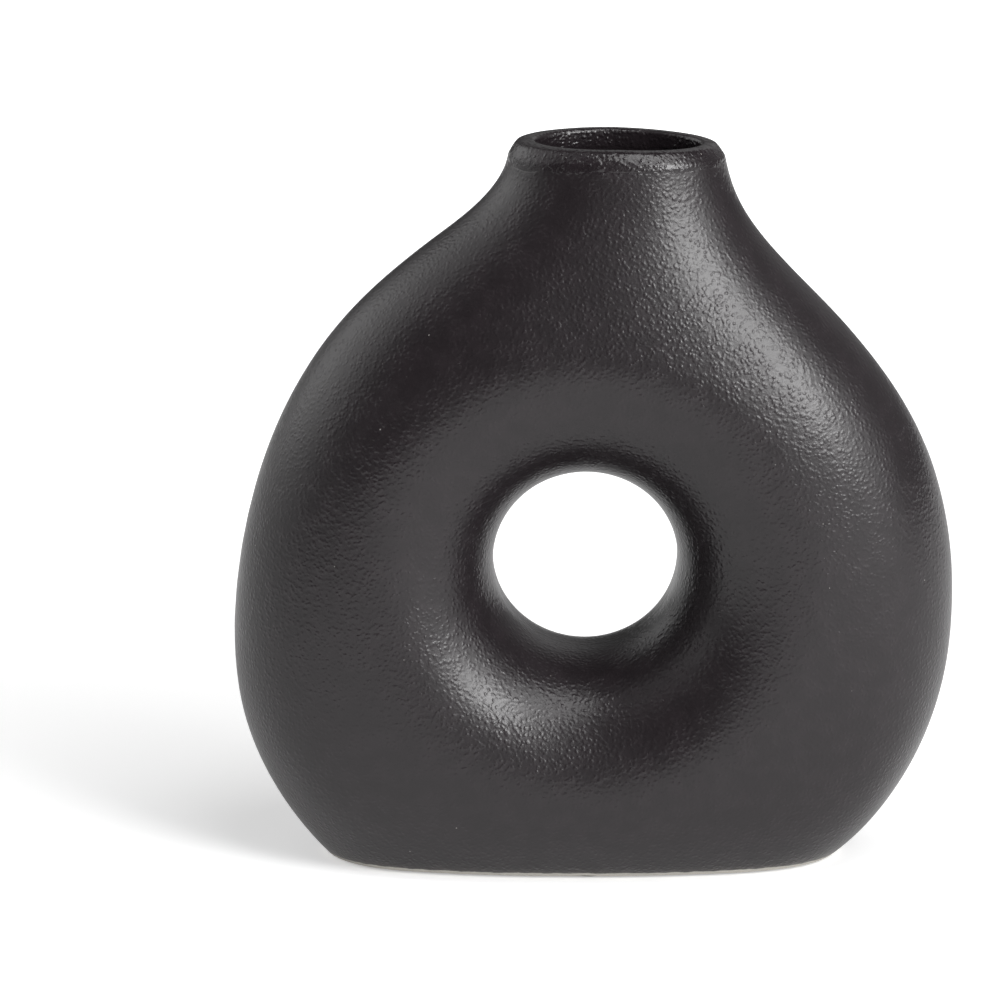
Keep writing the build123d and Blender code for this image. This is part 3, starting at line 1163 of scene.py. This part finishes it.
def hang_lamps(studio):
    """Square area lamps, turned to the middle of the vase."""
    middle = np.array((0.0, 0.0, cad_box[1][2] / 2))
    for name, (place, size, strength) in LAMPS.items():
        data = bpy.data.lights.new(name, "AREA")
        data.size = size
        data.energy = studio.key * strength
        thing = linked(name, data)
        thing.location = place
        way = middle - np.array(place)
        level = math.hypot(way[0], way[1])
        thing.rotation_euler = (math.pi / 2 + math.atan2(way[2], level), 0, math.atan2(-way[0], way[1]))


def set_surroundings(scene, studio):
    """Soft windows all round, which the camera itself sees as plain white."""
    world = bpy.data.worlds.new("Studio surroundings")
    scene.world = world
    world.use_nodes = True
    tree = world.node_tree
    way = tree.nodes.new("ShaderNodeTexCoord").outputs["Generated"]
    softness = 14.0
    windows = 0.0
    for round_from_right, up, strength in SOFT_WINDOWS:
        turn, rise = math.radians(round_from_right), math.radians(up)
        towards = (math.cos(turn) * math.cos(rise), math.sin(turn) * math.cos(rise), math.sin(rise))
        facing_it = make(tree, "ShaderNodeVectorMath", {0: way, 1: towards}, operation="DOT_PRODUCT")
        window = worked(tree, "MAXIMUM", facing_it.outputs["Value"], 0.0)
        window = worked(tree, "POWER", window, softness)
        windows = plus(tree, windows, times(tree, window, strength * studio.windows))
    by_camera = tree.nodes.new("ShaderNodeLightPath").outputs["Is Camera Ray"]
    glow = worked(tree, "MAXIMUM", windows, by_camera)
    fill(tree, tree.nodes["Background"], {"Strength": glow, "Color": (1.0, 1.0, 1.0, 1.0)})


def set_camera(scene, studio):
    """The camera that sees the vase as the photograph does."""
    data = bpy.data.cameras.new("camera")
    data.lens = studio.lens
    data.sensor_width = 36.0
    camera = linked("camera", data)
    camera.location = CAMERA_PLACE
    camera.rotation_euler = (math.pi / 2 - studio.pitch, 0, 0)
    scene.camera = camera


class VASE_OT_ring(bpy.types.Operator):
    """Build the glazed ring with its tunnel, its neck, its hollow and its foot"""

    bl_idname = "donut_vase.ring"
    bl_label = "Glazed ring"

    def execute(self, context):
        form = context.scene.donut_vase_form
        glaze = glaze_material(context.scene.donut_vase_glaze, form)
        mesh = mesh_from_halves("glazed_ring", vase_grids(form), form)
        values = {
            "Unevenness": form.unevenness,
            "Ripple": form.ripple,
            "Seam height": form.seam_height,
            "Seam width": form.seam_width,
        }
        ring = put_through(mesh, hand_finish_tree(glaze), values)
        ring.data.shade_smooth()
        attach(ring, "root")
        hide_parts("vase_body")
        return {"FINISHED"}


class VASE_OT_pads(bpy.types.Operator):
    """Build the four felt pads under the foot"""

    bl_idname = "donut_vase.pads"
    bl_label = "Felt pads"

    def execute(self, context):
        pads = context.scene.donut_vase_pads
        tree = fibre_tree(felt_material(pads))
        table, roof = PAD_BOX[0][2], PAD_BOX[1][2]
        clear_of_table = 0.0007
        clear_of_roof = 0.0006
        for place, name in enumerate(PADS):
            values = {
                "Fibres": pads.fibres,
                "Length": pads.fibre,
                "Lowest": table + clear_of_table,
                "Highest": roof - clear_of_roof,
                "Seed": pads.seed + place,
            }
            pad = put_through(pad_mesh(name, pads), tree, values)
            for point in pad.data.vertices:
                # Loose fibres lie on the table and turn up from it
                point.co[2] = table + abs(point.co[2] - table)
            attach(pad, "root")
            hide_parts(name)
        return {"FINISHED"}


class VASE_OT_studio(bpy.types.Operator):
    """Set up the pale floor, the lamps, the surroundings and the camera"""

    bl_idname = "donut_vase.studio"
    bl_label = "Studio"

    def execute(self, context):
        scene = context.scene
        studio = scene.donut_vase_studio
        scene.view_settings.view_transform = "Standard"
        lay_floor(studio)
        hang_lamps(studio)
        set_surroundings(scene, studio)
        set_camera(scene, studio)
        return {"FINISHED"}


class VASE_PT_panel(bpy.types.Panel):
    """Lists the vase's pieces and their sizes"""

    bl_idname = "VASE_PT_panel"
    bl_label = "Donut vase"
    bl_space_type = "VIEW_3D"
    bl_region_type = "UI"
    bl_category = "Donut vase"

    def draw(self, context):
        scene = context.scene
        steps = (
            ("donut_vase.ring", (scene.donut_vase_form, scene.donut_vase_glaze)),
            ("donut_vase.pads", (scene.donut_vase_pads,)),
            ("donut_vase.studio", (scene.donut_vase_studio,)),
        )
        for step, groups in steps:
            box = self.layout.box()
            box.operator(step)
            for group in groups:
                for name in group.__annotations__:
                    box.prop(group, name)


GROUPS = {
    "donut_vase_form": VaseForm,
    "donut_vase_glaze": GlazeFinish,
    "donut_vase_pads": PadForm,
    "donut_vase_studio": Studio,
}
CLASSES = (*GROUPS.values(), VASE_OT_ring, VASE_OT_pads, VASE_OT_studio, VASE_PT_panel)


def register():
    for item in CLASSES:
        bpy.utils.register_class(item)
    for name, group in GROUPS.items():
        setattr(bpy.types.Scene, name, bpy.props.PointerProperty(type=group))


def unregister():
    for name in GROUPS:
        delattr(bpy.types.Scene, name)
    for item in reversed(CLASSES):
        bpy.utils.unregister_class(item)


def main():
    """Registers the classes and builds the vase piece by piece."""
    register()
    bpy.ops.donut_vase.studio()
    bpy.ops.donut_vase.ring()
    bpy.ops.donut_vase.pads()


if __name__ == "__main__":
    main()
